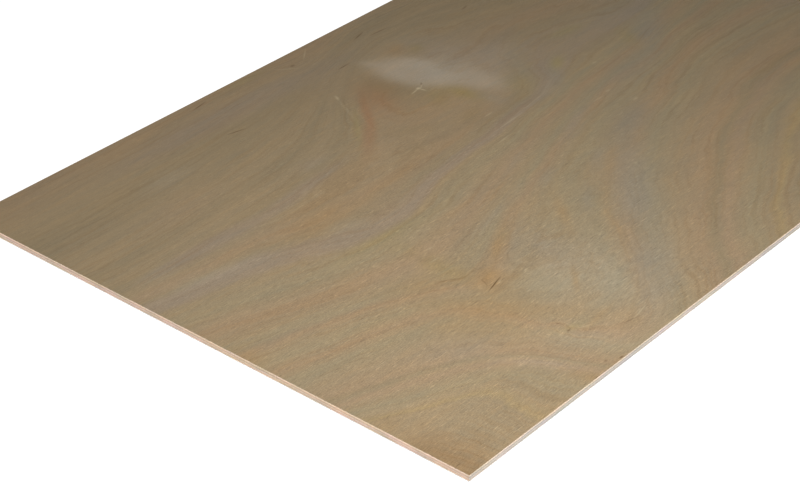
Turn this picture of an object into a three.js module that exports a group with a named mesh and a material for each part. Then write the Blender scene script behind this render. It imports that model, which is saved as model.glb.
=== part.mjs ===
// A plywood sheet: five wood veneers glued face to face, each with its grain square to its neighbours'.
//
// Units are millimetres. The origin is the middle of the sheet's underside: +X runs along the grain of
// the face, which is the sheet's length, +Y across it and +Z up, so the back of the sheet lies on Z = 0.

import * as THREE from "three";

// Driving dimensions.
const SHEET_LENGTH = 2438.4; // 8 ft, along the grain of the face
const SHEET_WIDTH = 1219.2; // 4 ft
const FACE_THICKNESS = 2.54; // a tenth of an inch, as is every veneer of this sheet
const CROSSBAND_THICKNESS = 2.54;
const CORE_THICKNESS = 2.54;
const BACK_THICKNESS = 2.54;
const ARRIS_RADIUS = 0.5; // sanded on the sharp edges of the face and of the back
const ARRIS_FACETS = 4; // flats that make up the quarter round of an arris

// Finishes. The face and the back show the broad side of the wood, the inner veneers only their sawn edges.
const faceWood = new THREE.MeshStandardMaterial({ color: 0xa38a6e, roughness: 0.72, metalness: 0 });
const crossbandWood = new THREE.MeshStandardMaterial({ color: 0xdfcbb8, roughness: 0.8, metalness: 0 });
const coreWood = new THREE.MeshStandardMaterial({ color: 0xccb29c, roughness: 0.8, metalness: 0 });

// Which side of a veneer is an outside of the sheet, and so has its edges eased.
const OUTSIDE = { none: "none", above: "above", below: "below" };

// The lay-up, from the underside to the top.
const LAY_UP = [
  { name: "back_veneer", thickness: BACK_THICKNESS, wood: faceWood, outside: OUTSIDE.below },
  { name: "lower_crossband", thickness: CROSSBAND_THICKNESS, wood: crossbandWood, outside: OUTSIDE.none },
  { name: "core_veneer", thickness: CORE_THICKNESS, wood: coreWood, outside: OUTSIDE.none },
  { name: "upper_crossband", thickness: CROSSBAND_THICKNESS, wood: crossbandWood, outside: OUTSIDE.none },
  { name: "face_veneer", thickness: FACE_THICKNESS, wood: faceWood, outside: OUTSIDE.above },
];

// The section of a quarter-round arris, from the sawn edge to the flat of the face: how far each of its
// points lies below the face, and how far in from the sawn edge.
function arrisSection() {
  return Array.from({ length: ARRIS_FACETS + 1 }, (_, i) => {
    const angle = (i / ARRIS_FACETS) * (Math.PI / 2);
    return {
      depth: ARRIS_RADIUS * (1 - Math.sin(angle)),
      inset: ARRIS_RADIUS * (1 - Math.cos(angle)),
    };
  });
}

// The outlines that a veneer is lofted through, from its bottom to its top: the height of each, and how
// far it is drawn in from the sheet's sawn edges.
function veneerOutlines(bottom, top, outside) {
  if (outside === OUTSIDE.above) {
    const eased = arrisSection().map(({ depth, inset }) => ({ height: top - depth, inset }));
    return [{ height: bottom, inset: 0 }, ...eased];
  }
  if (outside === OUTSIDE.below) {
    const eased = arrisSection().map(({ depth, inset }) => ({ height: bottom + depth, inset }));
    return [...eased.reverse(), { height: top, inset: 0 }];
  }
  return [
    { height: bottom, inset: 0 },
    { height: top, inset: 0 },
  ];
}

// Lofts a rectangular sheet through its outlines. It starts as a box one unit deep, with one segment
// between each outline and the next, and every corner is then moved to the outline that it belongs to.
// The heights are the sheet's own, so two veneers that touch share one plane to the last bit.
function loftedSheet(outlines) {
  const segments = outlines.length - 1;
  const geometry = new THREE.BoxGeometry(1, 1, 1, 1, 1, segments);
  const corners = geometry.getAttribute("position");
  for (let i = 0; i < corners.count; i++) {
    const { height, inset } = outlines[Math.round((corners.getZ(i) + 0.5) * segments)];
    corners.setXYZ(
      i,
      Math.sign(corners.getX(i)) * (SHEET_LENGTH / 2 - inset),
      Math.sign(corners.getY(i)) * (SHEET_WIDTH / 2 - inset),
      height,
    );
  }
  geometry.computeVertexNormals();
  return geometry;
}

// Stacks the veneers of a lay-up on Z = 0, each on top of the one before it.
function pressedSheet(layUp) {
  const sheet = new THREE.Group();
  let bottom = 0;
  for (const { name, thickness, wood, outside } of layUp) {
    const top = bottom + thickness;
    const veneer = new THREE.Mesh(loftedSheet(veneerOutlines(bottom, top, outside)), wood);
    veneer.name = name;
    sheet.add(veneer);
    bottom = top;
  }
  return sheet;
}

const plywoodSheet = pressedSheet(LAY_UP);
plywoodSheet.name = "plywood_sheet";

export default plywoodSheet;
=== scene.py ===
"""A plywood sheet on a pale studio floor: five peeled hardwood veneers, glued crosswise and trimmed.

Every length below is in millimetres unless its name ends in _m, and the frame is the CAD's: +X along the
sheet and the grain of its face, +Y across it, +Z up from its underside. Places on the broad sides are
measured from the sheet's near left corner: how far along the sheet, and how far across it.
"""

import logging
import math
from dataclasses import dataclass, field
from enum import Enum

import bmesh
import bpy
import numpy as np
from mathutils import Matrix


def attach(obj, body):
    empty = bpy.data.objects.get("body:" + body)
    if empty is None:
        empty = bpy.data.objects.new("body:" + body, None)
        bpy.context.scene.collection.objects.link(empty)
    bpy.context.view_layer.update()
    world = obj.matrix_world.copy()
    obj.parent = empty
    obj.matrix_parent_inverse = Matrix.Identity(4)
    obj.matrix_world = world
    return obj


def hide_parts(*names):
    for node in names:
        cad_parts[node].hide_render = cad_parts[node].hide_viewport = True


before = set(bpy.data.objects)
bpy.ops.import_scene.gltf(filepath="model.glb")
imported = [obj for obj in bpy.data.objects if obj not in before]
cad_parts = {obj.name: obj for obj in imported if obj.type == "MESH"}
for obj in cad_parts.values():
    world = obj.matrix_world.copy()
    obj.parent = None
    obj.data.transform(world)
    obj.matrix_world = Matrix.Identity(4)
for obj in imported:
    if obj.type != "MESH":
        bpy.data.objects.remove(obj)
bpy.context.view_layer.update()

log = logging.getLogger("plywood_sheet")

MM = 0.001
BODY = "root"
BAKE_MAP = "OFBake"
RING_ATTRIBUTE = "ring"
STAIN_ATTRIBUTE = "stain"
RING_SCALE = 1250.0  # mm of ring level that the ring attribute's 1 stands for
NOISE_MEAN = 0.5
PLACES_AT_ONCE = 8000  # how many places the spline takes at a time, so that its tables stay small
SAME_M = 1e-6  # how near two heights lie that are one
CORNER_M = 0.1  # a mesh edge shorter than this only turns a corner of the sheet
FLAT = 0.999  # how squarely a face points up or down that isn't part of the sheet's edge
SIDEWAYS = 0.1  # how far a face of the sheet's edge points to its own side

Point = tuple[float, float]
Span = tuple[float, float]
Triple = tuple[float, float, float]
Shares = tuple[float, ...]
Colour = tuple[float, float, float, float]
Tree = bpy.types.NodeTree
Socket = bpy.types.NodeSocket


def linear(hex_colour: str) -> Colour:
    """Turns an sRGB hex colour into the linear colour that Blender's sockets hold.

    Args:
        hex_colour: The colour as six hex digits, such as "ad9879".

    Returns:
        Linear red, green and blue from 0 to 1, and an alpha of 1.
    """
    parts = [int(hex_colour[i : i + 2], 16) / 255 for i in (0, 2, 4)]
    red, green, blue = (p / 12.92 if p <= 0.04045 else ((p + 0.055) / 1.055) ** 2.4 for p in parts)
    return red, green, blue, 1.0


def add_node(
    tree: Tree,
    kind: str,
    sockets: dict[int | str, object] | None = None,
    **settings: object,
) -> bpy.types.Node:
    """Adds a node with its settings, and fills its input sockets.

    Args:
        tree: The node tree that gets the node.
        kind: The node's type, such as "ShaderNodeMath".
        sockets: For each input, by name or number, an output socket to link it to or a value of its own.
        **settings: The node's own properties, such as operation="ADD".

    Returns:
        The new node.
    """
    node = tree.nodes.new(kind)
    for name, value in settings.items():
        setattr(node, name, value)
    for key, value in (sockets or {}).items():
        if isinstance(value, Socket):
            tree.links.new(value, node.inputs[key])
        else:
            node.inputs[key].default_value = value
    return node


def weigh(tree: Tree, noises: tuple[Socket, ...], shares: Shares, middle: float = 0.0) -> Socket:
    """Adds up noises about their mean, each times its own share.

    Args:
        tree: The material's node tree.
        noises: The noises' sockets.
        shares: Each noise's share, in the same order.
        middle: The sum where every noise is at its mean.

    Returns:
        The sum's socket.
    """
    total: float | Socket = middle - sum(shares) * NOISE_MEAN
    for noise, share in zip(noises, shares):
        total = add_node(
            tree, "ShaderNodeMath", {0: noise, 1: share, 2: total}, operation="MULTIPLY_ADD"
        ).outputs[0]
    return total


def cell_noise(
    tree: Tree, place: Socket, cell: Triple, octaves: float, roughness: float = 0.5
) -> bpy.types.Node:
    """Adds noise whose cells have a given size.

    Args:
        tree: The material's node tree.
        place: Object coordinates, in metres.
        cell: A cell's size along the sheet, across it and up.
        octaves: How many finer noises are laid over the first.
        roughness: How strong each finer noise is beside the one before.

    Returns:
        The noise's node, with sockets from 0 to 1.
    """
    per_metre = tuple(1 / (side * MM) for side in cell)
    cells = add_node(tree, "ShaderNodeMapping", {"Vector": place, "Scale": per_metre})
    return add_node(
        tree,
        "ShaderNodeTexNoise",
        {"Vector": cells.outputs[0], "Scale": 1.0, "Detail": octaves, "Roughness": roughness},
    )


def gather(
    items: bpy.types.bpy_prop_collection, name: str, width: int = 1, kind: type = float
) -> np.ndarray:
    """Reads a value of every item of a mesh.

    Args:
        items: The mesh's vertices, faces or corners.
        name: The value's name.
        width: How many numbers it has.
        kind: The type of its numbers.

    Returns:
        The values, with a row for each item where they have more than one number.
    """
    values = np.zeros(len(items) * width, kind)
    items.foreach_get(name, values)
    return values if width == 1 else values.reshape(-1, width)


class Tone(Enum):
    """The wood's tones, as sRGB hex."""

    TAN = "ae9879"
    COOL = "ab997b"
    WARM = "b19778"
    HONEY = "b39b75"
    SALMON = "b2987a"
    OLIVE = "a79375"
    YELLOW = "ae9c68"
    GOLD = "ac9561"
    ORANGE = "b49369"
    RUST = "b18563"
    BURNT = "a68966"
    BROWN = "9c8661"
    MAUVE = "aa967f"
    GREY = "a59884"
    SAGE = "a99d81"
    LAVENDER = "b4a38f"
    # PALE also paints the sheen on the knoll, a painted reflection of the light.
    PALE = "d1c1ac"
    UMBER = "8f8068"
    # FACE_END and FACE_LONG are partly painted highlight: the face veneer's edge is painted paler where light
    # catches the top of the sheet's edge.
    FACE_END = "efd3b8"
    FACE_LONG = "f5dfc8"
    CROSS_END = "ccbfb2"
    CROSS_LONG = "d9b79e"
    CORE_END = "e1cab6"
    CORE_LONG = "e0d4c8"
    BACK_END = "eaddd0"
    BACK_LONG = "e3dad0"
    GLUE = "a58467"
    MARK = "6f5436"
    SPLINTER = "d9c6a2"


class Grain(Enum):
    """Which way a veneer's fibres run."""

    ALONG = 0
    ACROSS = 1


class Outside(Enum):
    """Which side of a veneer is an outside of the sheet, and so has its edges eased."""

    NONE = 0
    ABOVE = 1
    BELOW = -1


@dataclass(frozen=True)
class Ring:
    """A length of a growth ring, as the peeled face shows it.

    Attributes:
        level: How far out the ring lies, counted in mm across the sheet's left end.
        points: Places that the ring passes through.
    """

    level: float
    points: tuple[Point, ...]


@dataclass(frozen=True)
class Stain:
    """A soft-edged patch of another tone: mostly the wood's own, but on the knoll a painted sheen.

    Attributes:
        tone: The tone in the middle of the patch.
        centre: Where its middle is.
        reach: Half its length and half its width.
        turn: Degrees from the sheet's length to the patch's own length.
        strength: The tone's share in the middle, from 0 to 1.
        edge: 1 for an edge that fades slowly, and more for a firmer one.
    """

    tone: Tone
    centre: Point
    reach: Point
    turn: float = 0.0
    strength: float = 0.5
    edge: float = 1.0

    def weight(self, along: np.ndarray, across: np.ndarray) -> np.ndarray:
        """Works out the tone's share at some places.

        Args:
            along: Each place's distance along the sheet.
            across: Each place's distance across it.

        Returns:
            A share from 0 to 1 for each place.
        """
        turn = math.radians(self.turn)
        du, dv = along - self.centre[0], across - self.centre[1]
        length = (du * math.cos(turn) + dv * math.sin(turn)) / self.reach[0]
        width = (dv * math.cos(turn) - du * math.sin(turn)) / self.reach[1]
        return self.strength * np.exp(-((length**2 + width**2) ** self.edge))


@dataclass(frozen=True)
class Mark:
    """A small scar in the face, such as a closed crack, a torn pin knot or a lifted splinter.

    Attributes:
        tone: The tone in the middle of the scar.
        centre: Where its middle is.
        reach: Half its length and half its width.
        turn: Degrees from the sheet's length to the scar's own length.
        strength: The tone's share in the middle, from 0 to 1.
    """

    tone: Tone
    centre: Point
    reach: Point
    turn: float = 0.0
    strength: float = 0.6


@dataclass(frozen=True)
class Figure:
    """The figure that peeling a log gives a veneer: growth rings, stains and scars.

    The ring level at any place is the smoothest surface through the rings' points, a thin-plate spline.

    Attributes:
        rings: The rings that set the figure.
        stains: Patches of another tone, laid one over the other.
        bands: The wood's tone at ring levels in rising order.
        marks: Small scars.
        stretch: How much shorter a step along the grain counts than one across it.
        slack: How far the spline may miss a ring's points, so that it stays smooth.
        unit: The length that the spline counts in, which keeps its numbers near 1.
    """

    rings: tuple[Ring, ...]
    stains: tuple[Stain, ...]
    bands: tuple[tuple[float, Tone], ...]
    marks: tuple[Mark, ...] = ()
    stretch: float = 0.62
    slack: float = 0.02
    unit: float = 125.0

    def levels(self, along: np.ndarray, across: np.ndarray) -> np.ndarray:
        """Finds the ring level at some places.

        Args:
            along: Each place's distance along the sheet.
            across: Each place's distance across it.

        Returns:
            The ring level at each place.
        """
        knots = np.array([p for ring in self.rings for p in ring.points], float)
        level = np.array([ring.level for ring in self.rings for _ in ring.points], float)
        knots = knots * (self.stretch / self.unit, 1 / self.unit)
        count = len(knots)
        system = np.zeros((count + 3, count + 3))
        system[:count, :count] = self._bend(knots, knots) + self.slack * np.eye(count)
        system[:count, count] = 1.0
        system[:count, count + 1 :] = knots
        system[count:, :count] = system[:count, count:].T
        weights = np.linalg.solve(system, np.concatenate([level, np.zeros(3)]))
        places = np.stack([along * self.stretch, across], axis=1) / self.unit
        found = [
            self._bend(part, knots) @ weights[:count] + weights[count] + part @ weights[count + 1 :]
            for part in np.array_split(places, max(1, len(places) // PLACES_AT_ONCE))
        ]
        return np.concatenate(found)

    @staticmethod
    def _bend(places: np.ndarray, knots: np.ndarray) -> np.ndarray:
        """Works out how a thin plate bends between each place and each knot.

        Args:
            places: The places.
            knots: The points that hold the plate.

        Returns:
            One term for each place and knot.
        """
        square = ((places[:, None, :] - knots[None, :, :]) ** 2).sum(axis=2)
        smallest = 1e-18  # keeps the logarithm finite where a place meets a knot
        return 0.5 * square * np.log(np.maximum(square, smallest))

    def stained(self, along: np.ndarray, across: np.ndarray) -> np.ndarray:
        """Lays the stains over each other at some places.

        Args:
            along: Each place's distance along the sheet.
            across: Each place's distance across it.

        Returns:
            For each place the stains' linear colour times their share, and their share.
        """
        laid = np.zeros((len(along), 4))
        for stain in self.stains:
            share = stain.weight(along, across)[:, None]
            laid = laid * (1 - share) + np.array(linear(stain.tone.value)) * share
        return laid


FACE_RINGS = (
    Ring(75, ((78, 0), (72, 50), (56, 100), (25, 135), (0, 152))),
    Ring(188, ((191, 5), (194, 60), (190, 100), (166, 131), (140, 146), (92, 169), (66, 183), (0, 215))),
    Ring(250, ((356, 0), (330, 62), (312, 100), (250, 162), (175, 198), (100, 228), (0, 269))),
    Ring(312, ((412, 0), (398, 38), (354, 112), (300, 188), (225, 238), (125, 281), (0, 325))),
    Ring(381, ((438, 25), (422, 88), (406, 150), (375, 225), (325, 294), (250, 325), (125, 359), (0, 388))),
    # The arch over the first cathedral, and the apex below it.
    Ring(438, ((0, 438), (125, 408), (250, 371), (350, 328), (390, 256), (419, 169), (448, 119), (500, 98))),
    Ring(438, ((562, 100), (625, 125), (675, 169), (750, 238))),
    Ring(438, ((800, 281), (875, 335), (1062, 440), (1250, 519))),
    Ring(469, ((500, 162), (456, 212), (444, 256), (469, 298))),
    Ring(469, ((525, 308), (588, 269), (600, 212), (550, 162))),
    Ring(456, ((510, 240), (545, 225))),
    Ring(500, ((0, 500), (125, 470), (250, 431), (362, 378), (431, 335), (465, 320), (512, 344), (562, 375))),
    Ring(500, ((612, 402), (700, 440), (812, 481), (938, 525), (1062, 562), (1250, 605))),
    Ring(600, ((0, 600), (125, 556), (250, 506), (412, 460), (488, 456), (562, 471), (688, 506), (812, 540))),
    Ring(600, ((938, 578), (1062, 612), (1250, 644), (1438, 662))),
    Ring(650, ((0, 655), (125, 615), (250, 575), (350, 550), (425, 538), (500, 540), (562, 552), (688, 588))),
    Ring(650, ((812, 612), (1000, 640), (1188, 669))),
    Ring(719, ((0, 735), (104, 713), (198, 702), (262, 686), (330, 662))),
    Ring(719, ((412, 624), (488, 601), (558, 607), (625, 627))),
    Ring(719, ((750, 650), (875, 662), (1000, 678), (1088, 691), (1162, 719), (1215, 778), (1269, 819))),
    Ring(719, ((1350, 819), (1438, 790), (1562, 778), (1750, 806), (2062, 800), (2438, 838))),
    Ring(756, ((0, 762), (188, 742), (312, 719), (425, 690))),
    Ring(756, ((525, 685), (700, 690), (875, 700), (1000, 718))),
    Ring(756, ((1075, 738), (1131, 781), (1169, 862), (1238, 922))),
    Ring(756, ((1350, 919), (1500, 881), (1688, 881))),
    Ring(756, ((1938, 894), (2188, 862), (2438, 875))),
    # The streak that runs down beside the second cathedral, and the knoll inside it.
    Ring(781, ((0, 782), (188, 772), (375, 755), (500, 760), (588, 772), (662, 788), (725, 831), (775, 875))),
    Ring(781, ((825, 938), (875, 988), (938, 1035), (1000, 1056), (1100, 1056), (1200, 1019), (1325, 988))),
    Ring(765, ((800, 875), (812, 828), (878, 790))),
    Ring(765, ((950, 770), (1012, 802), (1040, 878), (1019, 950), (969, 998))),
    Ring(765, ((900, 956), (835, 919))),
    Ring(750, ((919, 875), (950, 862))),
    Ring(800, ((0, 805), (125, 802), (225, 798), (312, 796), (412, 790), (500, 804), (588, 819), (662, 835))),
    Ring(800, ((719, 875), (769, 925), (819, 978), (875, 1022), (938, 1062), (1000, 1088), (1088, 1095))),
    Ring(800, ((1200, 1072), (1325, 1028), (1500, 969), (1750, 940), (1938, 940), (2188, 902), (2438, 919))),
    Ring(875, ((0, 875), (250, 872), (500, 890))),
    Ring(875, ((650, 928), (750, 988), (850, 1052), (950, 1105), (1062, 1131))),
    Ring(875, ((1188, 1125), (1325, 1085), (1500, 1038), (1750, 1004), (2000, 1000), (2438, 994))),
    Ring(1000, ((0, 1000), (250, 1000), (500, 1015), (750, 1065), (938, 1119), (1125, 1156), (1312, 1152))),
    Ring(1000, ((1500, 1119), (1750, 1090), (2125, 1081), (2438, 1078))),
    Ring(1125, ((0, 1125), (375, 1119), (750, 1144), (1000, 1172), (1250, 1185), (1625, 1175))),
    Ring(1219, ((0, 1219), (375, 1218), (750, 1222), (1125, 1238), (1625, 1238), (2000, 1225), (2438, 1219))),
    # The far half, where the rings run down from the near edge and then level out.
    Ring(381, ((588, 0), (700, 115), (812, 210), (950, 312))),
    Ring(381, ((1125, 412), (1375, 498), (1625, 525), (1875, 488))),
    Ring(381, ((2125, 462), (2438, 500))),
    Ring(312, ((712, 0), (875, 150), (1062, 269), (1250, 362), (1500, 425), (1750, 400), (2000, 356))),
    Ring(312, ((2250, 362), (2438, 400))),
    Ring(188, ((950, 0), (1188, 138), (1438, 238), (1750, 250), (2000, 200), (2250, 212), (2438, 238))),
    Ring(75, ((1250, 0), (1500, 75), (1750, 100), (2000, 50), (2250, 62), (2438, 88))),
    Ring(500, ((1500, 631), (1750, 650), (1938, 588), (2125, 575), (2438, 625))),
    Ring(600, ((1625, 700), (1812, 738), (2000, 700), (2188, 688), (2438, 725))),
)

FACE_STAINS = (
    # The near corner and the eye inside the first cathedral.
    Stain(Tone.BURNT, (16, 70), (26, 85), strength=0.65),
    Stain(Tone.BURNT, (54, 98), (13, 55), strength=0.35),
    Stain(Tone.OLIVE, (112, 60), (45, 60), strength=0.28),
    Stain(Tone.BURNT, (76, 40), (30, 20), 40, 0.4),
    Stain(Tone.ORANGE, (9, 189), (34, 20), -20, 0.4),
    Stain(Tone.LAVENDER, (250, 240), (80, 26), -35, 0.3),
    Stain(Tone.ORANGE, (362, 215), (110, 40), 122, 0.4),
    Stain(Tone.ORANGE, (478, 102), (52, 9), 8, 0.45),
    Stain(Tone.SAGE, (545, 212), (105, 40), -35, 0.26),
    Stain(Tone.SAGE, (478, 215), (46, 24), -40, 0.16),
    Stain(Tone.SAGE, (608, 165), (70, 34), 95, 0.3),
    Stain(Tone.SAGE, (575, 78), (60, 18), 35, 0.4),
    Stain(Tone.UMBER, (548, 104), (40, 26), 0, 0.16),
    Stain(Tone.PALE, (580, 276), (44, 8), -54, 0.14),
    Stain(Tone.PALE, (508, 343), (28, 7), -58, 0.14),
    Stain(Tone.ORANGE, (400, 268), (125, 34), -54, 0.55, 1.4),
    Stain(Tone.GOLD, (444, 425), (95, 24), 88, 0.35),
    Stain(Tone.ORANGE, (372, 408), (75, 26), -28, 0.5),
    Stain(Tone.ORANGE, (470, 325), (60, 32), 80, 0.4),
    Stain(Tone.ORANGE, (498, 128), (60, 20), -50, 0.35),
    Stain(Tone.YELLOW, (441, 123), (28, 10), -20, 0.4),
    Stain(Tone.ORANGE, (441, 296), (24, 14), 0, 0.35),
    Stain(Tone.ORANGE, (298, 292), (38, 16), -40, 0.25),
    Stain(Tone.ORANGE, (445, 381), (22, 14), 0, 0.3),
    Stain(Tone.UMBER, (446, 468), (52, 13), -66, 0.2),
    Stain(Tone.PALE, (425, 92), (110, 40), -57, 0.16),
    Stain(Tone.PALE, (560, 215), (130, 85), 60, 0.16),
    Stain(Tone.PALE, (632, 190), (115, 62), 62, 0.15),
    Stain(Tone.GREY, (684, 106), (155, 40), 34, 0.7, 1.6),
    Stain(Tone.ORANGE, (568, 207), (34, 6), 41, 0.5),
    Stain(Tone.ORANGE, (728, 206), (50, 9), 46, 0.28),
    Stain(Tone.GREY, (715, 162), (52, 28), 40, 0.5),
    Stain(Tone.ORANGE, (778, 270), (40, 9), 58, 0.45),
    Stain(Tone.ORANGE, (845, 334), (60, 10), 33, 0.25),
    Stain(Tone.ORANGE, (945, 398), (80, 11), 30, 0.4),
    Stain(Tone.ORANGE, (1035, 424), (60, 11), -6, 0.35),
    Stain(Tone.ORANGE, (741, 364), (62, 12), 49, 0.45),
    Stain(Tone.LAVENDER, (625, 325), (50, 26), 60, 0.3),
    Stain(Tone.GREY, (880, 292), (120, 40), 38, 0.85),
    Stain(Tone.GREY, (812, 358), (50, 12), 36, 0.4),
    Stain(Tone.GREY, (961, 441), (42, 12), 25, 0.5),
    Stain(Tone.GREY, (612, 452), (125, 11), 12, 0.45),
    Stain(Tone.GREY, (829, 469), (34, 12), 20, 0.45),
    Stain(Tone.GREY, (599, 369), (42, 11), 30, 0.35),
    Stain(Tone.GOLD, (606, 405), (36, 11), 30, 0.35),
    Stain(Tone.ORANGE, (504, 302), (26, 14), -50, 0.3),
    Stain(Tone.UMBER, (795, 242), (55, 14), 66, 0.18),
    Stain(Tone.UMBER, (760, 302), (46, 7), 61, 0.18),
    Stain(Tone.GREY, (1140, 480), (74, 26), 15, 0.6),
    Stain(Tone.UMBER, (1140, 480), (74, 26), 15, 0.14),
    Stain(Tone.GREY, (1005, 395), (120, 36), 38, 0.45),
    # The apex of the first cathedral.
    Stain(Tone.WARM, (515, 355), (70, 24), 28, 0.5),
    Stain(Tone.ORANGE, (478, 336), (40, 20), 30, 0.75),
    Stain(Tone.ORANGE, (568, 387), (48, 11), 30, 0.8),
    Stain(Tone.WARM, (672, 446), (110, 10), 30, 0.6),
    Stain(Tone.COOL, (550, 428), (80, 14), 8, 0.55),
    Stain(Tone.UMBER, (172, 55), (40, 13), 76, 0.2),
    Stain(Tone.PALE, (322, 100), (80, 15), -57, 0.18),
    Stain(Tone.UMBER, (208, 10), (20, 14), 0, 0.18),
    Stain(Tone.ORANGE, (343, 8), (30, 14), -60, 0.45),
    Stain(Tone.UMBER, (228, 262), (68, 24), -38, 0.22),
    Stain(Tone.UMBER, (540, 446), (62, 20), 25, 0.22),
    Stain(Tone.UMBER, (464, 584), (72, 20), -4, 0.24),
    Stain(Tone.PALE, (150, 722), (130, 22), -14, 0.18),
    Stain(Tone.PALE, (441, 652), (46, 16), -20, 0.16),
    Stain(Tone.PALE, (97, 799), (46, 14), -3, 0.18),
    Stain(Tone.ORANGE, (10, 488), (26, 48), 0, 0.35),
    Stain(Tone.SALMON, (70, 585), (100, 36), -20, 0.4),
    Stain(Tone.SALMON, (430, 478), (75, 18), 4, 0.5),
    Stain(Tone.SALMON, (655, 520), (60, 18), 18, 0.5),
    Stain(Tone.WARM, (290, 505), (120, 24), -14, 0.3),
    Stain(Tone.YELLOW, (440, 572), (95, 15), -3, 0.4),
    # The mauve arch, the salmon wood under it and the mauve band that ends at the streak.
    Stain(Tone.MAUVE, (505, 612), (100, 26), 12, 0.7),
    Stain(Tone.ORANGE, (425, 705), (95, 40), 12, 0.45),
    Stain(Tone.ORANGE, (620, 694), (150, 9), 4, 0.35),
    Stain(Tone.MAUVE, (225, 799), (155, 20), -2, 0.95, 2.0),
    Stain(Tone.MAUVE, (470, 800), (150, 16), 6, 0.9, 1.6),
    Stain(Tone.OLIVE, (745, 742), (115, 36), 5, 0.45),
    Stain(Tone.UMBER, (812, 732), (75, 13), -10, 0.36),
    Stain(Tone.BROWN, (810, 790), (60, 18), -30, 0.25),
    # The streak, the knoll, and the pale patch on it: a painted sheen, the light mirrored by the face.
    Stain(Tone.RUST, (732, 846), (76, 14), 38, 0.5, 1.3),
    Stain(Tone.RUST, (808, 920), (78, 10), 50, 0.6, 1.4),
    Stain(Tone.SALMON, (700, 800), (50, 20), 35, 0.4),
    Stain(Tone.YELLOW, (745, 890), (70, 7), 46, 0.35),
    Stain(Tone.RUST, (870, 945), (62, 38), 60, 0.6),
    Stain(Tone.BURNT, (868, 960), (60, 50), 40, 0.35),
    Stain(Tone.BROWN, (912, 960), (38, 75), 0, 0.4),
    Stain(Tone.ORANGE, (870, 835), (50, 40), 0, 0.2),
    Stain(Tone.GOLD, (1000, 818), (48, 22), 98, 0.75),
    Stain(Tone.GOLD, (955, 850), (50, 26), 60, 0.35),
    Stain(Tone.LAVENDER, (1100, 800), (85, 60), 100, 0.5),
    Stain(Tone.LAVENDER, (1172, 876), (95, 70), 20, 0.6),
    Stain(Tone.UMBER, (1223, 932), (60, 38), -20, 0.22),
    Stain(Tone.GREY, (1156, 792), (50, 24), 45, 0.45),
    Stain(Tone.GREY, (1046, 558), (90, 14), 22, 0.5),
    Stain(Tone.UMBER, (1057, 480), (60, 18), 20, 0.14),
    Stain(Tone.UMBER, (716, 603), (66, 12), 12, 0.16),
    Stain(Tone.GREY, (839, 556), (60, 12), 18, 0.4),
    Stain(Tone.LAVENDER, (1108, 965), (62, 70), 100, 0.5),
    # Painted sheen: the pale grainless patch on the knoll, a soft reflection of the light put into the
    # colour.
    Stain(Tone.PALE, (1060, 836), (70, 38), 103, 0.4, 1.5),
    Stain(Tone.PALE, (1004, 953), (98, 58), 107, 0.68, 2.0),
    Stain(Tone.PALE, (1040, 975), (42, 22), 115, 0.35, 1.3),
    Stain(Tone.PALE, (1014, 900), (38, 30), 100, 0.25),
    Stain(Tone.PALE, (970, 1050), (26, 12), 110, 0.3),
    Stain(Tone.SALMON, (1000, 950), (48, 30), 100, 0.2),
    Stain(Tone.ORANGE, (1062, 1054), (26, 16), 20, 0.5),
    Stain(Tone.GOLD, (1092, 1022), (24, 16), 20, 0.4),
    Stain(Tone.GREY, (1120, 1050), (60, 34), -40, 0.35),
    # More of the painted sheen on the knoll.
    Stain(Tone.PALE, (1088, 904), (52, 30), 100, 0.26),
    Stain(Tone.GREY, (1020, 755), (34, 20), 100, 0.5),
    Stain(Tone.BROWN, (935, 740), (48, 22), 20, 0.4),
    Stain(Tone.BROWN, (780, 1062), (90, 36), 12, 0.35),
    Stain(Tone.GOLD, (1108, 752), (60, 34), 45, 0.38),
    Stain(Tone.GREY, (1116, 686), (50, 15), 15, 0.6),
    Stain(Tone.GREY, (1185, 712), (52, 18), 42, 0.7),
    Stain(Tone.YELLOW, (1238, 748), (34, 15), 30, 0.6),
    Stain(Tone.GREY, (1310, 610), (110, 44), 10, 0.4),
    Stain(Tone.GREY, (1500, 690), (130, 36), 33, 0.7),
    Stain(Tone.GOLD, (1438, 702), (52, 20), 60, 0.28),
    Stain(Tone.TAN, (1345, 800), (120, 50), 0, 0.6),
    Stain(Tone.YELLOW, (1375, 822), (58, 16), -10, 0.4),
    Stain(Tone.GREY, (1510, 805), (120, 70), 10, 0.4),
    Stain(Tone.MAUVE, (620, 1128), (300, 36), -1, 0.78, 1.8),
    Stain(Tone.PALE, (345, 1030), (64, 20), 0, 0.15),
    Stain(Tone.MAUVE, (860, 1090), (150, 60), 10, 0.4),
    Stain(Tone.SALMON, (280, 930), (85, 40), 5, 0.4),
    Stain(Tone.LAVENDER, (575, 856), (42, 12), 5, 0.4),
    Stain(Tone.OLIVE, (500, 985), (110, 50), 5, 0.4),
    Stain(Tone.YELLOW, (748, 1205), (60, 12), 0, 0.3),
    Stain(Tone.OLIVE, (1260, 1000), (140, 60), -10, 0.35),
    # Beyond the second cathedral, towards the far end.
    Stain(Tone.ORANGE, (1750, 330), (190, 32), -5, 0.4),
    Stain(Tone.GREY, (2080, 250), (200, 42), 4, 0.5),
    Stain(Tone.ORANGE, (2180, 640), (150, 24), 8, 0.4),
    Stain(Tone.LAVENDER, (1900, 520), (150, 34), -6, 0.4),
    Stain(Tone.MAUVE, (2100, 950), (230, 44), -4, 0.5),
    Stain(Tone.YELLOW, (1780, 1010), (140, 30), 0, 0.3),
)

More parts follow.
